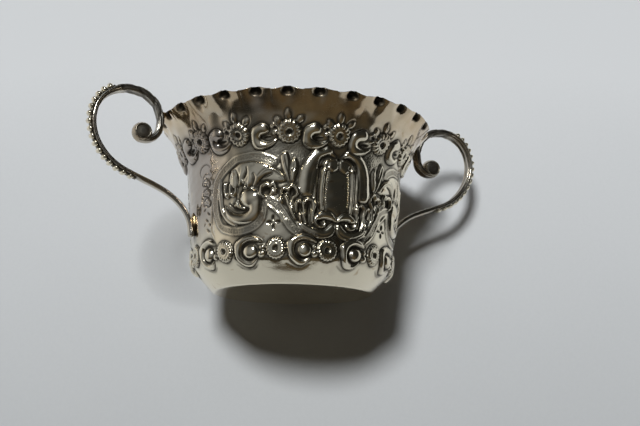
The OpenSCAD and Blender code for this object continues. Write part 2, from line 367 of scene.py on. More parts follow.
def drawVolutes(q):
    q.form([(0, 36.9), (1.2, 35.7), (2.6, 35.3), (3.9, 36.2), (4.3, 37.6), (3.7, 39.0), (2.2, 39.7),
            (0.6, 39.6), (0, 39.0)], 0.62, 1.2, 0.25)
    q.rib([(1.3, 39.7), (2.9, 39.4), (4.2, 38.7), (4.9, 37.5), (4.6, 36.4), (3.9, 36.3)],
          [0.6, 0.9, 0.9, 0.6], 0.95)
    q.pit((3.9, 37.3), (0.5, 0.5), 0.3)
    q.form([(0, 20.3), (1.3, 21.9), (2.8, 22.8), (4.4, 22.8), (6.1, 22.1), (7.0, 20.9), (6.7, 19.7),
            (5.4, 19.6), (4.6, 20.1), (2.3, 19.9), (0, 19.3)], 0.95, 1.7, 0.25)
    q.rib([(6.4, 21.0), (7.1, 19.5), (6.4, 18.0), (4.9, 17.6), (3.9, 18.2), (4.1, 18.9)],
          [0.9, 0.8, 0.6], 0.9)
    q.pit((5.3, 19.2), (0.95, 0.6), 0.8)
    q.form([(0.1, 18.6), (0.2, 16.8), (1.6, 15.0), (4.7, 14.1), (7.7, 14.7), (10.7, 16.3),
            (12.2, 18.0), (10.3, 18.2), (8.3, 17.4), (6.5, 16.9), (4.4, 16.7), (3.1, 17.5),
            (1.6, 18.9)], 0.75, 1.7, 0.2)
    q.rib([(0.2, 17.0), (1.6, 15.0), (4.7, 14.1), (7.7, 14.7), (10.7, 16.3), (12.3, 18.0)],
          [0.5, 0.7, 0.5], 0.9)


def drawSprays(q):
    # leaves between the panel and the scroll
    q.form([(18.6, 39.8), (17.6, 41.1), (16.6, 40.9), (16.0, 38.5), (15.6, 35), (15.1, 31.6),
            (15.6, 31.1), (16.9, 33.4), (18.1, 36.5)], 0.8, 1.3)
    q.groove([(17.4, 39.8), (16.8, 37.4), (16.2, 34.6)], [0.9, 0.8, 0.3], 0.45)
    q.form([(14.4, 39.3), (13.4, 38.1), (13.1, 35.5), (13.9, 32), (14.9, 31.3), (15.3, 34.5),
            (15.2, 37.6)], 0.8, 1.1)
    q.pit((14.6, 36.4), (0.55, 1.8), 0.7, 6)
    q.rib([(18.1, 27.4), (17.8, 28.7), (16.8, 29.3), (15.8, 28.9), (14.8, 30.2), (13.7, 29.8),
           (13.0, 28.4), (13.4, 26.9)], [0.7, 1.0, 1.0, 0.7], 1.05)
    q.pit((17.0, 27.6), (0.6, 1.1), 0.55)
    q.pit((14.7, 27.9), (0.8, 1.5), 0.65, 10)
    q.blob((18.1, 25.4), (0.75, 1.2), 0.8, -20)
    for ridge, width in (([(16.6, 27.0), (15.6, 24), (14.6, 21.5), (13.5, 19.4)], [0.9, 1.1, 0.6]),
                         ([(13.6, 26.9), (14.6, 25.4), (14.7, 22.8), (14.2, 20.8)], [0.7, 0.9, 0.5]),
                         ([(13.3, 21.8), (13.3, 24), (12.5, 25.2), (11.4, 24.9), (10.9, 23.4),
                           (10.5, 20.2), (9.6, 17.8)], [0.7, 0.9, 0.9, 0.6]),
                         ([(11.0, 23.6), (10.6, 25.1), (9.4, 26.1), (8.2, 25.7), (7.6, 24),
                           (7.9, 21.0), (7.9, 18.6)], [0.7, 0.9, 0.9, 0.6]),
                         ([(12.0, 21.4), (11.7, 19.6), (11.1, 18.2)], [0.5, 0.9, 0.5])):
        q.rib(ridge, width, 0.95)
    q.pit((15.4, 23.4), (0.6, 1.9), 0.45, 14)
    q.pit((12.1, 22.8), (0.7, 1.6), 0.75)
    q.pit((9.2, 22.9), (0.65, 2.1), 0.75, -4)
    q.groove([(9.3, 21), (9.2, 19), (8.7, 17.6)], 0.6, 0.4)
    for k in range(3):
        q.groove([(12.6 - 0.2 * k, 18.7 - 0.55 * k), (11.5 - 0.2 * k, 18.5 - 0.55 * k)], 0.3, 0.25)
    # leaves outside the scroll, towards the handle
    for tip in (0, 3.4, 6.6):
        q.form([(44.9, 33.6 - tip), (46.4, 35.0 - tip), (48.6, 34.4 - tip), (49.3, 33.0 - tip),
                (47.4, 32.6 - tip), (45.6, 32.2 - tip)], 0.22, 0.8, 0.35)
        q.groove([(45.6, 33.3 - tip), (47.8, 33.7 - tip)], [0.3, 0.5], 0.3)
    q.groove([(44.6, 35.9), (46.4, 36.6), (48.3, 36.0), (49.3, 34.4)], [0.2, 0.4, 0.2], 0.35)
    for x, y in ((46.4, 23.2), (47.6, 21.0), (46.0, 19.4), (47.3, 17.6)):
        q.pit((x, y), (1.3, 0.5), 0.4, 35)
    for x, y in ((48.8, 24.6), (49.2, 19.8)):
        q.pit((x, y), (0.9, 0.4), 0.35, -40)
    q.rib([(44.2, 14.8), (45.6, 17.2), (45.2, 20.2), (44.6, 23.8)], [0.4, 0.6, 0.4], 0.3)
    q.groove([(44.7, 38.6), (46.9, 39.8), (49.4, 39.2), (50.6, 37.4), (49.8, 35.9)], [0.2, 0.45, 0.2], 0.4)
    q.mat([(8.6, 43.2), (9.9, 41.2), (12.3, 37.6), (13.2, 39.4), (15.3, 39.6), (16.3, 41.7), (18.4, 41.2),
           (19.7, 38.9), (22.4, 40.5), (24, 42), (20, 43.6), (14, 44.4)], 0.9)


for draw in (drawScroll, drawAcanthus, drawTeardrop, drawCross, drawSprays, drawPanel, drawPanelLeaf,
             drawVolutes):
    draw(quarter)
print("middle band drawn")

# the whole wall: the quarter is mirrored at the panel and again at each handle
wall = Canvas(-girthLength / 2, girthLength / 2, wraps=True)
for name in ("raised", "cutAway", "matted"):
    q = getattr(quarter, name)
    whole = np.concatenate([q, q[:, ::-1]] * 2, 1)     # back left, front left, front right, back right
    getattr(wall, name)[:, :] = whole[:, :wall.columns]

bands = {
    "upperAt": 47.0, "upperCount": 15, "upperStart": -0.8, "upperRadius": 3.3, "upperPetals": 14,
    "lowerAt": 10.3, "lowerRadius": 3.5, "lowerPetals": 18,
    "lowerSpots": [-2.3, 17.2, 36.5, 55.8, 75.1, 94.4, 113.7, 133.0, 152.5, 171.9, 190.2, 209.2],
    "sepals": ((-46, 0.85), (-4, 1.05), (42, 0.9)),    # the way and size of the leaves above a flower
}


def drawFlower(w, x, y, radius, petals, first):
    # round flower: scalloped rim, ring of lines, bead in a hollow
    def onRing(reach, a):
        return x + reach * math.cos(a), y + reach * math.sin(a)

    outline = []
    for k in range(petals * 4):
        a = turn * k / (petals * 4) + first
        scallop = 0.97 + 0.07 * abs(math.cos((a - first) * petals / 2)) ** 0.6
        outline.append(onRing(radius * scallop, a))
    w.form(outline, 0.62, 1.1, 0.3)
    w.pit((x, y), (radius * 0.55, radius * 0.55), 0.28, 0, 0.5)
    for k in range(petals):
        a = turn * k / petals + first
        w.blob(onRing(radius * 0.74, a), (radius * 0.3, radius * 2.6 / petals), 0.9, math.degrees(a))
    w.rib([onRing(1.35, a) for a in np.arange(8) * turn / 8], 0.85, 0.98, 1.0, True)
    w.pit((x, y), (0.9, 0.9), 0.75)
    w.blob((x, y), (0.62, 0.62), 0.95)
    for k in range(petals):
        a = turn * (k + 0.5) / petals + first
        w.groove([onRing(radius * 0.66, a), onRing(radius * 1.04, a)], [0.3, 0.5], 0.3)


def beside(middle, points):
    return [(middle + across, up) for across, up in points]


def drawUpperBand(w):
    pitch = girthLength / bands["upperCount"]
    for k in range(bands["upperCount"]):
        x, y, radius = bands["upperStart"] + k * pitch, bands["upperAt"], bands["upperRadius"]
        drawFlower(w, x, y, radius, bands["upperPetals"], 0.2 * k)
        for way, size in bands["sepals"]:
            ahead = np.array([math.sin(math.radians(way)), math.cos(math.radians(way))])
            base, tip = ([x, y] + (radius + far) * ahead for far in (-0.3, 3.0 * size))
            wide = 0.95 * np.array([-ahead[1], ahead[0]])
            w.form([base, (base + tip) / 2 + wide, tip, (base + tip) / 2 - wide], 0.42, 0.7, 0.3)
            w.groove([base, tip], [0.45, 0.2], 0.4)
        mid = x + pitch / 2
        w.form(beside(mid, [(-2.0, 49.0), (-0.2, 49.7), (1.5, 49.0), (2.0, 47.6), (1.1, 46.6),
                            (-0.3, 46.2), (-0.8, 45.4), (0.2, 44.6), (2.0, 44.4), (4.4, 45.2),
                            (2.6, 42.8), (-0.4, 41.8), (-2.6, 42.3), (-3.8, 44.0), (-3.9, 46.5),
                            (-3.2, 48.2)]), 1.05, 2.1, 0.25)
        w.pit((mid + 1.6, 45.6), (1.5, 0.5), 0.5, 8)
        w.rib(beside(mid, [(3.4, 46.9), (4.5, 47.4), (4.6, 48.7), (3.6, 49.4), (2.7, 48.7)]), 0.7, 0.65)
        w.pit((mid + 3.7, 48.2), (0.55, 0.55), 0.4)


def drawLowerBand(w):
    spots = bands["lowerSpots"]
    for k, x in enumerate(spots):
        y = bands["lowerAt"] + 0.3 * math.sin(2.3 * k)
        drawFlower(w, x, y, bands["lowerRadius"], bands["lowerPetals"], 0.5 * k)
        after = (spots + [spots[0] + girthLength])[k + 1]
        mid = (x + after) / 2
        w.form(beside(mid, [(-5.2, 12.2), (-2.8, 14.0), (0.3, 14.8), (3.3, 14.1), (5.3, 12.3),
                            (3.0, 12.5), (0.5, 12.7), (-1.8, 11.7), (-2.5, 10.0), (-2.3, 8.4),
                            (-1.0, 7.1), (1.0, 6.7), (3.5, 7.5), (1.0, 5.3), (-1.9, 5.4),
                            (-4.2, 7.3), (-5.0, 9.8)]), 1.0, 1.5, 0.28)
        w.blob((mid + 0.9, 9.6), (2.5, 2.2), 1.25)
        w.groove(beside(mid, [(-1.4, 8.6), (0.6, 7.4), (3.0, 8.3)]), 0.5, 0.3)
        w.blob((mid + 4.7, 8.7), (1.3, 1.0), 0.75, 30)
        w.blob((mid + 4.9, 10.7), (1.0, 0.7), 0.6)
        w.groove(beside(mid, [(-5.4, 5.9), (-2.5, 4.6), (0.5, 4.4), (3, 5.6)]), [0.2, 0.5, 0.2], 0.25)


drawUpperBand(wall)
drawLowerBand(wall)
print("flower bands drawn")


def blur(field, size):
    # soft Gaussian over the sheet, which closes on itself round the bowl
    rows, columns = field.shape
    fy = np.fft.fftfreq(rows, cell)[:, None]
    fx = np.fft.rfftfreq(columns, cell)[None, :]
    keep = np.exp(-2 * (math.pi * size) ** 2 * (fx ** 2 + fy ** 2))
    return np.fft.irfft2(np.fft.rfft2(field) * keep, s=field.shape)


upGrid = ((np.arange(wall.rows) + 0.5) * cell)[:, None]
acrossGrid = (wall.left + (np.arange(wall.columns) + 0.5) * cell)[None, :]
fromHandle = np.abs(np.abs(acrossGrid) - girthLength / 4)
# the handles' feet need plain wall, and the base and the rim's edge are plain all round
plainFoot = 1 - fade(fromHandle, 2.6, 4.2) * ease(upGrid, 14.5, 16.5) * fade(upGrid, 27, 29)
ground = 0.18 * ease(upGrid, 1.0, 12.0)                # the wall between the forms is beaten back
relief = blur(((wall.raised - 0.8 * wall.cutAway) * ease(upGrid, 3.6, 5.2) - ground)
              * fade(upGrid, 52.5, 55.5) * plainFoot, 0.13)
backRelief = blur(relief, 0.55)
matted = blur(wall.matted * plainFoot, 0.12)
# dirt lies in the broad hollows and in the fine creases
cavity = np.clip((blur(relief, 1.1) - relief - 0.02) / 0.26, 0, 1)
crease = np.clip((blur(relief, 0.35) - relief) / 0.06, 0, 1)
grime = blur(np.clip(0.85 * cavity + 0.5 * crease, 0, 1), 0.1)


def sampled(field, across, up):
    # bilinear read of the sheet
    x = (across - wall.left) / cell - 0.5
    y = np.clip(up / cell - 0.5, 0, wall.rows - 1.001)
    i, j = np.floor(y).astype(int), np.floor(x).astype(int)
    fy, fx = y - i, x - j
    j0, j1 = j % wall.columns, (j + 1) % wall.columns
    return ((field[i, j0] * (1 - fx) + field[i, j1] * fx) * (1 - fy)
            + (field[i + 1, j0] * (1 - fx) + field[i + 1, j1] * fx) * fy)


# each half of the sheet is spun, then its points are pushed in and out
rim = {
    "crests": 28, "firstCrest": math.radians(1.3), "dip": 0.8, "dipShare": 0.86,
    "hollowWide": 2.15, "hollowHigh": 1.6, "hollowDeep": 1.35, "hollowDown": 1.75, "flute": 0.7,
    "curl": 0.8,
}
darkAtFoot = {"height": 18.6, "wide": 2.6, "high": 3.4, "share": 0.9}     # round the handles' feet
# the hand's unevenness: size, then turns across and up and the shift of each of its waves
uneven = {
    "wander": [(0.22, (0.21, 0.13, 1.3)), (0.12, (0.47, -0.31, 0))],
    "lift": [(0.18, (0.17, 0, 0.6)), (0.1, (0.39, 0.2, 0))],
    "dents": [(0.055, (0.71, 0.35, 0.8), (-0.29, 0.83, 0)), (0.035, (1.13, -0.9, 2.0), (0.37, 1.21, 0)),
              (0.05, (0.33, 0.11, 0), (0, 0.21, 0.7))],
}
tiltAt = np.arctan2(np.gradient(outerLine[:, 0]), np.gradient(outerLine[:, 1]))
wallFrom = 8                   # the section's points before this one are the base's rounded edge


def ripple(name, across, up):
    return sum(size * np.prod([np.sin(across * a + up * u + shift) for a, u, shift in waves], 0)
               for size, *waves in uneven[name])


def crimp(around, z):
    # how far the flare is pushed in, how far its edge dips, and the share of each hollow
    pitch = turn / rim["crests"]
    halfPitch = pitch * bowl["rimRadius"] / 2
    fromCrest = around - math.pi / 2 - rim["firstCrest"]
    crest = np.round(fromCrest / pitch)
    c = (fromCrest - crest * pitch) * bowl["rimRadius"] + 0.25 * np.sin(crest * 2.1)
    t = (bowl["height"] - z) / math.cos(flareTilt)
    q = (c / rim["hollowWide"]) ** 2 + ((t - rim["hollowDown"]) / rim["hollowHigh"]) ** 2
    hollow = rim["hollowDeep"] * (1 + 0.12 * np.sin(crest * 1.7)) * np.clip(1 - q, 0, 1) ** 0.8
    swing = 0.5 * np.cos(math.pi * c / halfPitch)
    valley = np.clip(0.5 + swing, 0, 1) ** 1.6
    flute = rim["flute"] * (1 + 0.3 * np.sin(crest * 2.9)) * valley * fade(t, 1, 11)
    curl = rim["curl"] * (1 - (1 - np.clip(t / 8, 0, 1)) ** 2) * fade(t, 6, 18) * (0.7 - 0.6 * swing)
    half = rim["dipShare"] * halfPitch
    dip = rim["dip"] * np.clip(1 - ((halfPitch - np.abs(c)) / half) ** 2, 0, 1)
    return hollow + flute + curl, dip * (1 + 0.15 * np.sin(crest * 3.3)) * ease(z, 52, 60), q


def pushSheet(points, side):
    # the pushed points, and the darkening (oxide and painted shade) and the matting on them
    x, y, z = points.T
    around = np.arctan2(x, -y)                         # 0 at the front, towards +X
    across = around * bowl["girth"] - bowl["panelShift"]
    drawn = across + ripple("wander", across, z), z + ripple("lift", across, z)
    outside = side < 0.5
    tilt = np.interp(z, outerLine[wallFrom:, 1], tiltAt[wallFrom:])
    push = np.where(side > 0.5, sampled(backRelief, *drawn), sampled(relief, *drawn)) * ease(z, 2.5, 5.0)
    push = push + ease(z, 4, 10) * ripple("dents", across, z) * (1 - 0.5 * ease(z, 44, 52))
    inward, dip, q = crimp(around, z)
    push = push - inward
    radius = np.minimum(np.hypot(x, y) + push * np.cos(tilt), bowl["rimRadius"])
    height = np.minimum(z - push * np.sin(tilt) * ease(z, 2.5, 5) - dip, bowl["height"])
    oxideAndShade = sampled(grime, *drawn) * outside
    # painted shade: the rim's hollows and a ring round them are darkened nearly to black
    oxideAndShade = np.maximum(oxideAndShade, np.clip(1.5 - q, 0, 1) ** 0.5 * (side < 0.95))
    # the flanks are darker round the handles' feet
    fromFoot = np.hypot(y / darkAtFoot["wide"], (z - darkAtFoot["height"]) / darkAtFoot["high"])
    onFlank = outside * (np.abs(x) > 20)
    oxideAndShade = np.maximum(oxideAndShade, darkAtFoot["share"] * np.exp(-fromFoot ** 2) * onFlank)
    rough = sampled(matted, *drawn) * outside
    return np.stack([radius * np.sin(around), -radius * np.cos(around), height], 1), oxideAndShade, rough


def newObject(name, bm):
    mesh = bpy.data.meshes.new(name)
    bm.to_mesh(mesh)
    bm.free()
    thing = bpy.data.objects.new(name, mesh)
    bpy.context.scene.collection.objects.link(thing)
    return thing


def readPoints(mesh):
    flat = np.zeros(len(mesh.vertices) * 3)
    mesh.vertices.foreach_get("co", flat)
    return flat.reshape(-1, 3)


def writePoints(mesh, points):
    mesh.vertices.foreach_set("co", np.ascontiguousarray(points, dtype=np.float64).ravel())
    mesh.update()


def setLayer(mesh, name, values):
    layer = mesh.attributes.get(name) or mesh.attributes.new(name, "FLOAT", "POINT")
    layer.data.foreach_set("value", np.ascontiguousarray(values, dtype=np.float32))


def smoothAll(mesh):
    mesh.polygons.foreach_set("use_smooth", [True] * len(mesh.polygons))


def makePiece(name, bm, way=1, shape=None):
    # shape bends the points and says where the piece is darkened; way is -1 on the left and 1 on the right
    thing = newObject(name, bm)
    points = readPoints(thing.data)
    if shape:
        points, oxideAndShade = shape(points)
        setLayer(thing.data, "oxideAndShade", oxideAndShade)
    writePoints(thing.data, points * [way, way, 1] * mm)
    smoothAll(thing.data)
    return thing


def spinBlank():
    # a thin wedge is spun, then copied round: one long spin is slow
    wedges = 12
    bm = bmesh.new()
    side = bm.verts.layers.float.new("side")
    points = []
    for (r, z), flag in zip(section, sideOf):
        v = bm.verts.new((-r, 0, z))
        v[side] = flag
        points.append(v)
    edges = [bm.edges.new(pair) for pair in zip(points, points[1:])]
    bmesh.ops.spin(bm, geom=points + edges, cent=(0, 0, 0), axis=(0, 0, 1), angle=math.pi / wedges,
                   steps=bowl["columns"] // wedges, use_duplicate=False)
    wedge = bm.verts[:] + bm.edges[:] + bm.faces[:]
    for k in range(1, wedges):
        copy = bmesh.ops.duplicate(bm, geom=wedge)["geom"]
        bmesh.ops.rotate(bm, verts=[g for g in copy if isinstance(g, bmesh.types.BMVert)],
                         cent=(0, 0, 0), matrix=Matrix.Rotation(math.pi * k / wedges, 3, "Z"))
    bmesh.ops.remove_doubles(bm, verts=bm.verts, dist=1e-4)
    return bm


def makeHalf(name, blank, way):
    thing = newObject(name, blank.copy())
    mesh = thing.data
    flags = np.zeros(len(mesh.vertices), np.float32)
    mesh.attributes["side"].data.foreach_get("value", flags)
    pushed, oxideAndShade, rough = pushSheet(readPoints(mesh) * [-way, -way, 1], flags)
    writePoints(mesh, pushed * mm)
    setLayer(mesh, "oxideAndShade", oxideAndShade)
    setLayer(mesh, "matting", rough)
    # close the cut between the outer and inner skin
    bm = bmesh.new()
    bm.from_mesh(mesh)
    cut = [e for e in bm.edges if e.is_boundary]
    bmesh.ops.holes_fill(bm, edges=cut, sides=0)
    for e in cut:
        e.smooth = False
    bmesh.ops.recalc_face_normals(bm, faces=bm.faces)
    bm.to_mesh(mesh)
    bm.free()
    smoothAll(mesh)
    return thing


blank = spinBlank()
bowlFront = makeHalf("bowlFront", blank, -1)
bowlBack = makeHalf("bowlBack", blank, 1)
blank.free()
for half in (bowlFront, bowlBack):
    half.data.calc_loop_triangles()
    print(half.name, "raised, triangles", len(half.data.loop_triangles))

panelPearls = {
    "line": [(3.45, 35.0), (3.8, 31.5), (3.95, 28.5), (3.95, 23.4)], "pitch": 0.8, "radius": 0.36,
    "proud": 0.16,
}


def makePearls():
    # punched pearls down both sides of each panel
    p = panelPearls
    line = smoothLine(p["line"], 12)
    run = travelled(line)
    spots = []
    for k in range(int(run[-1] / p["pitch"])):
        a, z = (np.interp(k * p["pitch"], run, line[:, i]) for i in (0, 1))
        spots += [(panel + way * a, z) for panel in (0, girthLength / 2) for way in (-1, 1)]
    across, up = np.array(spots).T
    around = (across + bowl["panelShift"]) / bowl["girth"]
    r = np.interp(up, outerLine[wallFrom:, 1], outerLine[wallFrom:, 0])
    onWall = np.stack([r * np.sin(around), -r * np.cos(around), up], 1)
    bm = bmesh.new()
    for place, angle in zip(pushSheet(onWall, np.zeros(len(spots)))[0], around):
        made = bmesh.ops.create_icosphere(bm, subdivisions=1, radius=p["radius"])["verts"]
        out = Vector((math.sin(angle), -math.cos(angle), 0)) * p["proud"]
        bmesh.ops.translate(bm, verts=made, vec=Vector(place) + out)
    return makePiece("panelPearls", bm)


pearls = makePearls()
print("panel pearls set")

handle = {
    "loop": [(8, -10.4), (4.9, -10.4), (2.2, -8.4), (1.1, -4.6), (1.7, -0.4), (3.6, 3), (7, 5.5),
             (11.5, 6.6), (16.4, 5.9), (20.6, 3.3), (23.2, -1), (23.9, -6.4), (22.6, -12),
             (19.4, -17), (15, -20.8)],
    "stem": [(0.79, 0.88), (0.55, 0.77), (0.33, 0.64), (0.15, 0.46), (0.04, 0.24)],
    "thick": 2.8, "wide": 5.4, "footHeight": 18.0, "gap": 0.35,
    "taper": [(0, 0.85, 0.8), (0.2, 0.95, 0.86), (0.34, 1, 1), (0.5, 0.86, 0.84), (0.7, 0.8, 0.74),
              (0.82, 0.68, 0.52), (1, 0.6, 0.46)],
    "beaded": (0.39, 0.42, 0.745, 0.785), "leaf": (0.1, 0.16, 0.36, 0.40),    # shares of the course
    "stations": 180, "facets": 48,
    "roundEnd": ((0.92, 0.010), (0.70, 0.019), (0.35, 0.024)),    # size, share of the course past its end
}


def wallRadius(z):
    return np.interp(z, outerLine[:, 1], outerLine[:, 0])


def handleCourse():
    h = handle
    rimPoint = np.array([bowl["rimRadius"], bowl["height"]])
    loop = [rimPoint + p for p in np.array(h["loop"], float)]
    foot = np.array([wallRadius(h["footHeight"]) + h["gap"] + h["thick"] * 0.3, h["footHeight"]])
    reach = loop[-1] - foot
    stem = [foot + np.array(s) * reach for s in h["stem"]]
    return smoothLine(loop + stem + [foot], 4)


course = handleCourse()
courseAt = np.arange(len(course)) / (len(course) - 1)


def alongCourse(share):
    # place, direction, way out of the loop, and the bar's half sizes at a share of the course
    place, ahead, behind = (np.stack([np.interp(np.clip(share + step, 0, 1), courseAt, course[:, k])
                                      for k in (0, 1)], -1) for step in (0, 0.006, -0.006))
    run = (ahead - behind) / np.linalg.norm(ahead - behind, axis=-1)[..., None]
    out = np.stack([-run[..., 1], run[..., 0]], -1)
    taper = np.array(handle["taper"])
    half = handle["thick"] / 2 * np.interp(share, taper[:, 0], taper[:, 1])
    wide = handle["wide"] / 2 * np.interp(share, taper[:, 0], taper[:, 2])
    return place, run, out, half, wide


def dent(angle, middle, width):
    return np.exp(-((angle - middle) / width) ** 2)


def bendBar(points):
    # a straight round bar (unit circle, station 0 to 1 up) becomes the reeded, bent one
    share = np.clip(points[:, 2], 0, 1)
    angle = np.degrees(np.arctan2(points[:, 1], points[:, 0]))     # 0 back, 180 front
    steep = np.abs(angle)
    size = np.hypot(points[:, 0], points[:, 1])
    place, run, out, half, wide = alongCourse(share)
    c, s = np.cos(np.radians(angle)), np.sin(np.radians(angle))
    b = np.sign(c) * np.abs(c) ** 0.8
    w = np.sign(s) * np.abs(s) ** 0.75
    beaded, leaf = (ease(share, start, full) * fade(share, fading, gone)
                    for start, full, fading, gone in (handle["beaded"], handle["leaf"]))
    stem = ease(share, 0.7, 0.78)
    reed = (0.16 * dent(steep, 62, 12) + 0.2 * dent(steep, 118, 13) + 0.22 * dent(steep, 180, 20))
    reed = reed * (0.55 + 0.45 * beaded) * (1 - 0.55 * stem)
    reed = reed + leaf * (0.22 * dent(steep, 85, 12) + 0.16 * dent(steep, 40, 10))
    step = leaf * 0.12 * ease(np.sin(share * 95 + steep * 0.03), 0.2, 1.0)
    k = (1 - reed - step) * size
    foot = ease(share, 0.955, 1.0)
    channel = beaded * fade(steep, 48, 82)          # the beads stand in a cut-down back
    b, w = b * k, w * k * (1 + 0.35 * foot)
    b = (b - channel * size * np.maximum(b - 0.32, 0)) * (1 + 0.25 * foot)
    past = (points[:, 2] - share) * 30.0               # rounded ends run past the course
    x, z = (place[:, i] + out[:, i] * b * half + run[:, i] * past for i in (0, 1))
    curl = fade(share, 0.08, 0.14)
    # oxide lies in the reeds' grooves, the steps and the beaded channel; the leaf and the curl are painted
    # dark reflection
    oxideAndShade = np.clip(reed * 3.6 + step * 3 + channel * 0.9 + 0.55 * leaf + 0.3 * curl, 0, 1) * 0.85
    return np.stack([x, w * wide, z], 1), oxideAndShade


def growRing(bm, ring):
    # a ring of edges is extruded; gives the new points and the new ring
    made = bmesh.ops.extrude_edge_only(bm, edges=ring)["geom"]
    points = {g for g in made if isinstance(g, bmesh.types.BMVert)}
    return list(points), [g for g in made if isinstance(g, bmesh.types.BMEdge) and points.issuperset(g.verts)]


def makeBar(name, way):
    stations = handle["stations"]
    bm = bmesh.new()
    bmesh.ops.create_circle(bm, segments=handle["facets"], radius=1, cap_ends=False)
    ring = list(bm.edges)
    for k in range(stations):
        points, ring = growRing(bm, ring)
        bmesh.ops.translate(bm, verts=points, vec=(0, 0, 1 / stations))
    for end, outward in ((0.0, -1), (1.0, 1)):
        ring = [e for e in bm.edges if e.is_boundary and abs(e.verts[0].co.z - end) < 1e-4]
        for size, past in handle["roundEnd"]:
            points, ring = growRing(bm, ring)
            for v in points:
                v.co = (*(v.co.xy.normalized() * size), end + outward * past)
        bmesh.ops.holes_fill(bm, edges=ring, sides=0)
    bmesh.ops.recalc_face_normals(bm, faces=bm.faces)
    return makePiece(name, bm, way, bendBar)


volute = {
    "middle": (7.2, -8.2),     # from the rim
    # half section of the ball: distance from its axle, distance from its middle
    "section": [(0, 2.36), (0.9, 2.33), (1.7, 2.22), (2.05, 2.12), (2.2, 2.02), (2.32, 2.2), (2.5, 2.42),
                (2.72, 2.36), (2.95, 2.0), (3.2, 1.42), (3.4, 0.75), (3.48, 0)],
}


def placeBall(points):
    reach = np.hypot(points[:, 0], points[:, 2])
    oxideAndShade = np.clip(0.9 * fade(reach, 2.15, 2.42) - 0.35 * fade(reach, 0.4, 1.5), 0, 1)
    x, z = volute["middle"]
    return points + [bowl["rimRadius"] + x, 0, bowl["height"] + z], oxideAndShade


def makeBall(name, way):
    line = smoothLine(volute["section"], 3)
    line = np.concatenate([line, (line * [1, -1])[::-1][1:]])
    bm = bmesh.new()
    verts = [bm.verts.new((r, y, 0)) for r, y in line]
    edges = [bm.edges.new(pair) for pair in zip(verts, verts[1:])]
    bmesh.ops.spin(bm, geom=verts + edges, cent=(0, 0, 0), axis=(0, 1, 0), angle=turn, steps=56,
                   use_merge=True, use_duplicate=False)
    bmesh.ops.remove_doubles(bm, verts=bm.verts, dist=1e-3)
    bmesh.ops.recalc_face_normals(bm, faces=bm.faces)
    return makePiece(name, bm, way, placeBall)


beading = {
    "count": 16, "from": 0.42, "to": 0.745, "radius": 1.05, "shrink": 0.3,
    "pearls": 7,               # the first ones stand up like pearls, the rest are lozenges
    "stripPast": 0.015,        # the strip runs past the beads by this share of the course
}


def makeBeading(name, way):
    g = beading
    bm = bmesh.new()
    darkLayer = bm.verts.layers.float.new("oxideAndShade")
    # thin strip that the beads stand on
    bmesh.ops.create_cube(bm, size=1)
    longEdges = [e for e in bm.edges if abs(e.verts[0].co.x - e.verts[1].co.x) > 0.5]
    bmesh.ops.subdivide_edges(bm, edges=longEdges, cuts=80, use_grid_fill=True)
    for v in bm.verts:
        share = g["from"] - g["stripPast"] + (g["to"] - g["from"] + 2 * g["stripPast"]) * (v.co.x + 0.5)
        place, run, out, half, wide = alongCourse(share)
        up = half * (0.22 + (v.co.z + 0.5) * 0.8)
        # the strip under the beads is darker
        v[darkLayer] = 0.75
        v.co = (place[0] + out[0] * up, v.co.y * wide * 0.9, place[1] + out[1] * up)
    for k in range(g["count"]):
        done = k / (g["count"] - 1)
        place, run, out, half, wide = alongCourse(g["from"] + (g["to"] - g["from"]) * done)
        size = g["radius"] * (1 - g["shrink"] * done)
        pearl = 1 - float(ease(k, g["pearls"] - 2, g["pearls"] + 1))
        made = bmesh.ops.create_uvsphere(bm, u_segments=14, v_segments=9, radius=1)["verts"]
        for v in made:
            x, y, z = v.co                       # x along the bar, y across, z out of it
            square = 1 + 0.54 * (1 - pearl) * abs(x * y)
            lying = (x + 0.35 * y * (1 - pearl)) * square
            v.co = (lying * size * 1.08, y * square * wide * (0.96 - 0.08 * pearl),
                    z * size * (1.3 + 0.12 * pearl))
            # each bead is darker towards the bar
            v[darkLayer] = max(0.0, min(1.0, 0.4 - 1.6 * z)) * 0.9
        lift = half * 0.88 - 0.06 + 0.06 * pearl
        turnTo = Matrix(((run[0], 0, out[0]), (0, 1, 0), (run[1], 0, out[1]))).to_4x4()
        spot = Vector((place[0] + out[0] * lift, 0, place[1] + out[1] * lift))
        bmesh.ops.transform(bm, verts=made, matrix=Matrix.Translation(spot) @ turnTo)
    bmesh.ops.recalc_face_normals(bm, faces=bm.faces)
    return makePiece(name, bm, way)


solder = {
    "rimSize": (1.1875, 1.4375, 1.25), "rimOut": 0.3, "rimDown": 1.3, "rimLump": 0.1,
    "footHigh": 7.6, "footSize": (0.75, 1.7, 3.8), "footOut": 0.12, "footLump": 0.06,
}


def lumpyDrop(levels, amount, size):
    bm = bmesh.new()
    for v in bmesh.ops.create_icosphere(bm, subdivisions=levels, radius=1)["verts"]:
        x, y, z = v.co
        v.co *= 1 + amount * (math.sin(5.1 * x + 2.0) * math.sin(4.3 * y + 1.0) + math.sin(3.7 * z))
    bmesh.ops.scale(bm, verts=bm.verts, vec=size)
    return bm


def makeRimSolder(name, way):
    bm = lumpyDrop(3, solder["rimLump"], solder["rimSize"])
    place = (bowl["rimRadius"] + solder["rimOut"], 0, bowl["height"] - solder["rimDown"])
    bmesh.ops.translate(bm, verts=bm.verts, vec=place)
    return makePiece(name, bm, way)


def layOnWall(points):
    # the patch follows the wall, and its lower part is darker
    middle = handle["footHeight"] + solder["footHigh"] / 2
    x, y, z = points.T + [[0], [0], [middle]]
    oxideAndShade = fade(z, middle - 1.4, middle + 1.0)
    return np.stack([x + wallRadius(z) + solder["footOut"], y * (1 + 0.15 * np.sin(z)), z], 1), oxideAndShade


def makeFootSolder(name, way):
    return makePiece(name, lumpyDrop(4, solder["footLump"], solder["footSize"]), way, layOnWall)


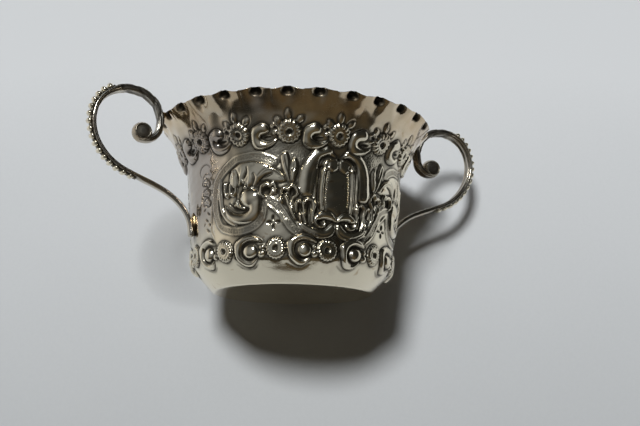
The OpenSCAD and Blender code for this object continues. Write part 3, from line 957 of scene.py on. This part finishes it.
class Wire:
    # one socket; sums on wires become Math nodes
    def __init__(self, bench, socket):
        self.bench, self.socket = bench, socket

    def sum(self, operation, *values):
        return self.bench.add("Math", {"operation": operation}, dict(enumerate(values)))

    def __add__(self, other):
        return self.sum("ADD", self, other)

    def __radd__(self, other):
        return self.sum("ADD", other, self)

    def __sub__(self, other):
        return self.sum("SUBTRACT", self, other)

    def __rsub__(self, other):
        return self.sum("SUBTRACT", other, self)

    def __mul__(self, other):
        return self.sum("MULTIPLY", self, other)

    def __rmul__(self, other):
        return self.sum("MULTIPLY", other, self)

    def __truediv__(self, other):
        return self.sum("DIVIDE", self, other)

    def held(self, low=0.0, high=1.0):
        return self.bench.add("Clamp", {}, {"Value": self, "Min": low, "Max": high})


class Bench:
    # the nodes of one material or of the world
    def __init__(self, owner):
        owner.use_nodes = True
        self.owner, self.tree = owner, owner.node_tree
        self.tree.nodes.clear()

    def add(self, kind, settings, inputs, out=0):
        node = self.tree.nodes.new("ShaderNode" + kind)
        for key, value in settings.items():
            setattr(node, key, value)
        for key, value in inputs.items():
            if isinstance(value, Wire):
                self.tree.links.new(value.socket, node.inputs[key])
            else:
                node.inputs[key].default_value = value
        return Wire(self, node.outputs[out]) if node.outputs else None

    def blend(self, share, a, b):
        # colour mix
        return self.add("Mix", {"data_type": "RGBA"}, {0: share, 6: a, 7: b}, 2)

    def noise(self, where, scale, detail=2.0, rough=0.5, twist=0.0):
        return self.add("TexNoise", {}, {"Vector": where, "Scale": scale, "Detail": detail,
                                         "Roughness": rough, "Distortion": twist})


silverLook = {
    "bright": (0.95, 0.87, 0.69, 1), "warm": (0.50, 0.34, 0.19, 1), "cool": (0.60, 0.61, 0.64, 1),
    "oxideAndShadeColour": (0.022, 0.018, 0.012, 1), "dull": (0.40, 0.35, 0.32, 1),
    "golden": (0.76, 0.58, 0.38, 1), "rough": 0.07,
}
# the handles' silver is a darker copy of the bowl's: painted dark reflection
handleLook = {**silverLook, "bright": (0.66, 0.61, 0.52, 1), "cool": (0.40, 0.39, 0.34, 1),
              "oxideAndShadeColour": (0.03, 0.026, 0.02, 1), "rough": 0.10}
ballLook = {**silverLook, "bright": (0.55, 0.52, 0.44, 1), "cool": (0.34, 0.34, 0.29, 1),
            "oxideAndShadeColour": (0.07, 0.06, 0.045, 1), "rough": 0.2}
solderLook = {**silverLook, "bright": (0.46, 0.35, 0.20, 1), "cool": (0.34, 0.29, 0.2, 1),
              "oxideAndShadeColour": (0.05, 0.03, 0.01, 1), "rough": 0.2}
repeats = {"patches": 55, "hues": 95, "specks": 330, "hammering": 420, "pricks": 1500, "grain": 2600}
flare = {"from": 0.047, "over": 0.009, "flankFrom": 0.029, "flankOver": 0.006}    # metres


def silver(name, look, bare, oxideAndShadeShare=0.93, chased=False):
    # bare moves the tarnish on or off; a chased sheet is also matted, golden up the flare, dull on a flank
    b = Bench(bpy.data.materials.new(name))
    where = b.add("TexCoord", {}, {}, 3)
    oxideAndShade = b.add("Attribute", {"attribute_name": "oxideAndShade"}, {}, 2)
    patches = b.noise(where, repeats["patches"], 4, 0.6, 0.4)
    fine = b.noise(where, repeats["hammering"], 3, 0.65)
    grain = b.noise(where, repeats["grain"], 2, 0.5)
    stain = ((patches - 0.5) * 3.2 + bare).held()
    cooler = (b.noise(where, repeats["hues"], 3, 0.5, 1.0) - 0.42) * 4
    if chased:
        up = b.add("SeparateXYZ", {}, {0: where}, 2)
        left = 0 - b.add("SeparateXYZ", {}, {0: where}, 0)
        height = ((up - flare["from"]) / flare["over"]).held()
        flank = ((left - flare["flankFrom"]) / flare["flankOver"]).held() * (1 - height)
        flank = flank * ((up - 0.012) / 0.012).held()
        stain = (stain * 0.8 + height * ((patches - 0.22) * 2.4).held(0, 0.95)).held()
        cooler = cooler - 0.45 * height
    tint = b.blend(cooler.held(), look["warm"], look["cool"])
    colour = b.blend(stain * 0.75, look["bright"], tint)
    if chased:
        colour = b.blend(height * 0.45, colour, look["golden"])
        colour = b.blend(flank * ((patches - 0.22) * 3.6).held(0.1, 0.85), colour, look["dull"])
        specks = ((b.noise(where, repeats["specks"], 1, 0.4, 0.5) - 0.69) * 14).held()
        colour = b.blend(specks * 0.55, colour, look["warm"])
    # the layer's oxide, painted shade and painted dark reflection pull the colour to the dark tone
    dirtAndShade = (oxideAndShade * (0.75 + 0.6 * fine)).held()
    colour = b.blend(dirtAndShade * oxideAndShadeShare, colour, look["oxideAndShadeColour"])
    rough = look["rough"] + 0.04 * patches + 0.42 * dirtAndShade * dirtAndShade + 0.06 * stain + 0.02 * grain
    bumps = 0.55 * fine + 0.18 * grain
    if chased:
        mat = b.add("Attribute", {"attribute_name": "matting"}, {}, 2)
        pricks = b.add("TexVoronoi", {"feature": "F1"},
                       {"Vector": where, "Scale": repeats["pricks"], "Randomness": 0.75})
        bumps = bumps + mat * pricks * 4.0
        rough = rough + 0.12 * mat
        colour = b.blend((mat * ((0.42 - pricks) * 3.0).held(0.45, 0.9)).held(), colour, look["oxideAndShadeColour"])
    normal = b.add("Bump", {}, {"Strength": 0.22, "Distance": 0.00010, "Height": bumps})
    metal = b.add("BsdfPrincipled", {}, {"Base Color": colour, "Metallic": 1.0,
                                         "Roughness": rough.held(0.08, 0.8), "Normal": normal})
    b.add("OutputMaterial", {}, {"Surface": metal})
    return b.owner


chasedSilver = silver("chasedSilver", silverLook, -0.1, 0.97, True)
handleSilver = silver("handleSilver", handleLook, 0.15, 0.9)
ballSilver = silver("ballSilver", ballLook, 0.35)
beadSilver = silver("beadSilver", {**silverLook, "rough": 0.13}, -0.2)
solderGold = silver("solderGold", solderLook, 0.1)


def finishPiece(thing, material, node):
    thing.data.materials.clear()
    thing.data.materials.append(material)
    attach(thing, "root")
    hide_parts(node)


finishPiece(bowlFront, chasedSilver, "bowl_body")
finishPiece(bowlBack, chasedSilver, "bowl_body")
finishPiece(pearls, beadSilver, "bowl_body")
for side, way in (("left", -1), ("right", 1)):
    finishPiece(makeBar(side + "Bar", way), handleSilver, side + "_handle_bar")
    finishPiece(makeBall(side + "Ball", way), ballSilver, side + "_volute_ball")
    finishPiece(makeBeading(side + "Beads", way), beadSilver, side + "_beading")
    finishPiece(makeRimSolder(side + "RimSolder", way), solderGold, side + "_rim_solder")
    finishPiece(makeFootSolder(side + "FootSolder", way), solderGold, side + "_foot_solder")
    print(side, "handle bent, beaded and soldered")

# the bowl lies on its side on a pale table; here the bowl stands upright and the table leans behind it
table = {
    "towards": math.radians(66.5), "lean": math.radians(14.0), "reach": 33.1 * mm,
    "size": 5.0, "shown": 0.34, "gone": 0.5, "shadedColour": (0.53, 0.54, 0.545, 1), "pale": (0.78, 0.79, 0.80, 1),
}
a, e = table["towards"], table["lean"]
tableOut = Vector((math.cos(a) * math.cos(e), math.sin(a) * math.cos(e), -math.sin(e)))
tableUp = -tableOut            # the table's face looks back at the bowl


def makeTable():
    bm = bmesh.new()
    bmesh.ops.create_grid(bm, x_segments=4, y_segments=4, size=table["size"] / 2)
    face = tableUp.to_track_quat("Z", "Y").to_matrix().to_4x4()
    bmesh.ops.transform(bm, verts=bm.verts, matrix=Matrix.Translation(tableOut * table["reach"]) @ face)
    thing = newObject("paleTable", bm)
    b = Bench(bpy.data.materials.new("paleTable"))
    where = b.add("TexCoord", {}, {}, 3)
    cloud = b.noise(where, 9, 2, 0.5)
    speck = b.noise(where, 900, 1, 0.5)
    # painted shade: the table darkens towards the bottom; the soft clouds and fine specks are its own
    up = b.add("SeparateXYZ", {}, {0: where}, 2)
    share = ((up + 0.07) / 0.17 + 0.25 * (cloud - 0.5) + 0.1 * (speck - 0.5)).held()
    paint = b.add("BsdfPrincipled", {}, {"Base Color": b.blend(share, table["shadedColour"], table["pale"]),
                                         "Roughness": 0.6, "Specular IOR Level": 0.25})
    # the camera sees through it from behind and far from the bowl
    gone = b.add("BsdfTransparent", {}, {})
    behind = b.add("NewGeometry", {}, {}, 6)
    camera = b.add("LightPath", {}, {}, 0)
    off = b.add("VectorMath", {"operation": "LENGTH"}, {0: where}, 1)
    far = ((off - table["shown"]) / (table["gone"] - table["shown"])).held()
    hide = (camera * (behind + far).held()).held()
    b.add("OutputMaterial", {}, {"Surface": b.add("MixShader", {}, {0: hide, 1: paint, 2: gone})})
    thing.data.materials.append(b.owner)


makeTable()

light = {
    "keyStrength": 2.5, "keyMirrored": 0.5, "keySpread": math.radians(14),
    "keyFrom": Vector((-0.523, -0.758, 0.445)).normalized(), "keyColour": (0.96, 0.985, 1.0),
    "windowFrom": Vector((-0.35, -0.75, 0.62)).normalized(), "windowFar": 1.6, "windowSize": 0.7,
    "windowPower": 0.8, "windowColour": (0.80, 0.89, 1.0),
    "room": (0.020, 0.020, 0.018, 1), "fill": (0.030, 0.025, 0.019, 1), "backdrop": (0.56, 0.585, 0.61, 1),
    # what the silver mirrors: brown low down, a pale glow to the left, cream behind it
    "glows": [((0.05, -0.62, -0.78), 0.5, 1.0, (0.095, 0.076, 0.048, 1)),
              ((-0.72, -0.68, 0.10), 0.45, 1.0, (0.24, 0.25, 0.26, 1)),
              ((-0.80, 0.60, 0.05), 0.55, 0.9, (0.58, 0.56, 0.52, 1))],
}


def hang(lamp, strength, colour, towards, place=(0, 0, 0)):
    lamp.energy, lamp.color = strength, colour
    thing = bpy.data.objects.new(lamp.name, lamp)
    thing.location = place
    thing.rotation_euler = towards.to_track_quat("Z", "Y").to_euler()
    bpy.context.scene.collection.objects.link(thing)
    return thing


def keyLamp(name, share, mirroredInSilver):
    # the key is two lamps at one place, and the silver mirrors only one of them
    sun = bpy.data.lights.new(name, "SUN")
    sun.angle = light["keySpread"]
    thing = hang(sun, light["keyStrength"] * share, light["keyColour"], light["keyFrom"])
    thing.visible_glossy = mirroredInSilver


keyLamp("lampMirrored", light["keyMirrored"], True)
keyLamp("lampPlain", 1 - light["keyMirrored"], False)

window = bpy.data.lights.new("windowHigh", "AREA")
window.shape, window.size = "SQUARE", light["windowSize"]
hang(window, light["windowPower"], light["windowColour"], light["windowFrom"],
     light["windowFrom"] * light["windowFar"] + Vector((0, 0, 0.03)))


def makeRoom():
    b = Bench(bpy.data.worlds.new("room"))
    where = b.add("TexCoord", {}, {}, 0)
    mirrored = light["room"]
    for direction, start, full, colour in light["glows"]:
        towards = tuple(Vector(direction).normalized())
        near = b.add("VectorMath", {"operation": "DOT_PRODUCT"}, {0: where, 1: towards}, 1)
        share = ((near - start) / (full - start)).held()
        mirrored = b.blend(share * share, mirrored, colour)
    seen = b.add("LightPath", {}, {}, 0)
    glossy = b.add("LightPath", {}, {}, 3)
    fill, room, back = (b.add("Background", {}, {"Color": colour, "Strength": 1.0})
                        for colour in (light["fill"], mirrored, light["backdrop"]))
    unseen = b.add("MixShader", {}, {0: glossy, 1: fill, 2: room})
    b.add("OutputWorld", {}, {"Surface": b.add("MixShader", {}, {0: seen, 1: unseen, 2: back})})
    bpy.context.scene.world = b.owner


makeRoom()

view = {
    "place": (-125.5, -324.4, -45.6), "azimuth": 67.29, "rise": 12.17, "roll": 0.9, "lens": 56.25,
}
camera = bpy.data.cameras.new("camera")
camera.lens, camera.sensor_width = view["lens"], 36
camera.clip_start, camera.clip_end = 0.01, 20
cameraThing = bpy.data.objects.new("camera", camera)
az, rise = math.radians(view["azimuth"]), math.radians(view["rise"])
forward = Vector((math.cos(az) * math.cos(rise), math.sin(az) * math.cos(rise), math.sin(rise)))
cameraThing.matrix_world = (Matrix.Translation(Vector(view["place"]) * mm)
                            @ forward.to_track_quat("-Z", "Y").to_matrix().to_4x4()
                            @ Matrix.Rotation(math.radians(view["roll"]), 4, "Z"))
bpy.context.scene.collection.objects.link(cameraThing)
bpy.context.scene.camera = cameraThing
bpy.context.scene.view_settings.view_transform = "Standard"
print("table, light and camera set")

bpy.context.view_layer.update()
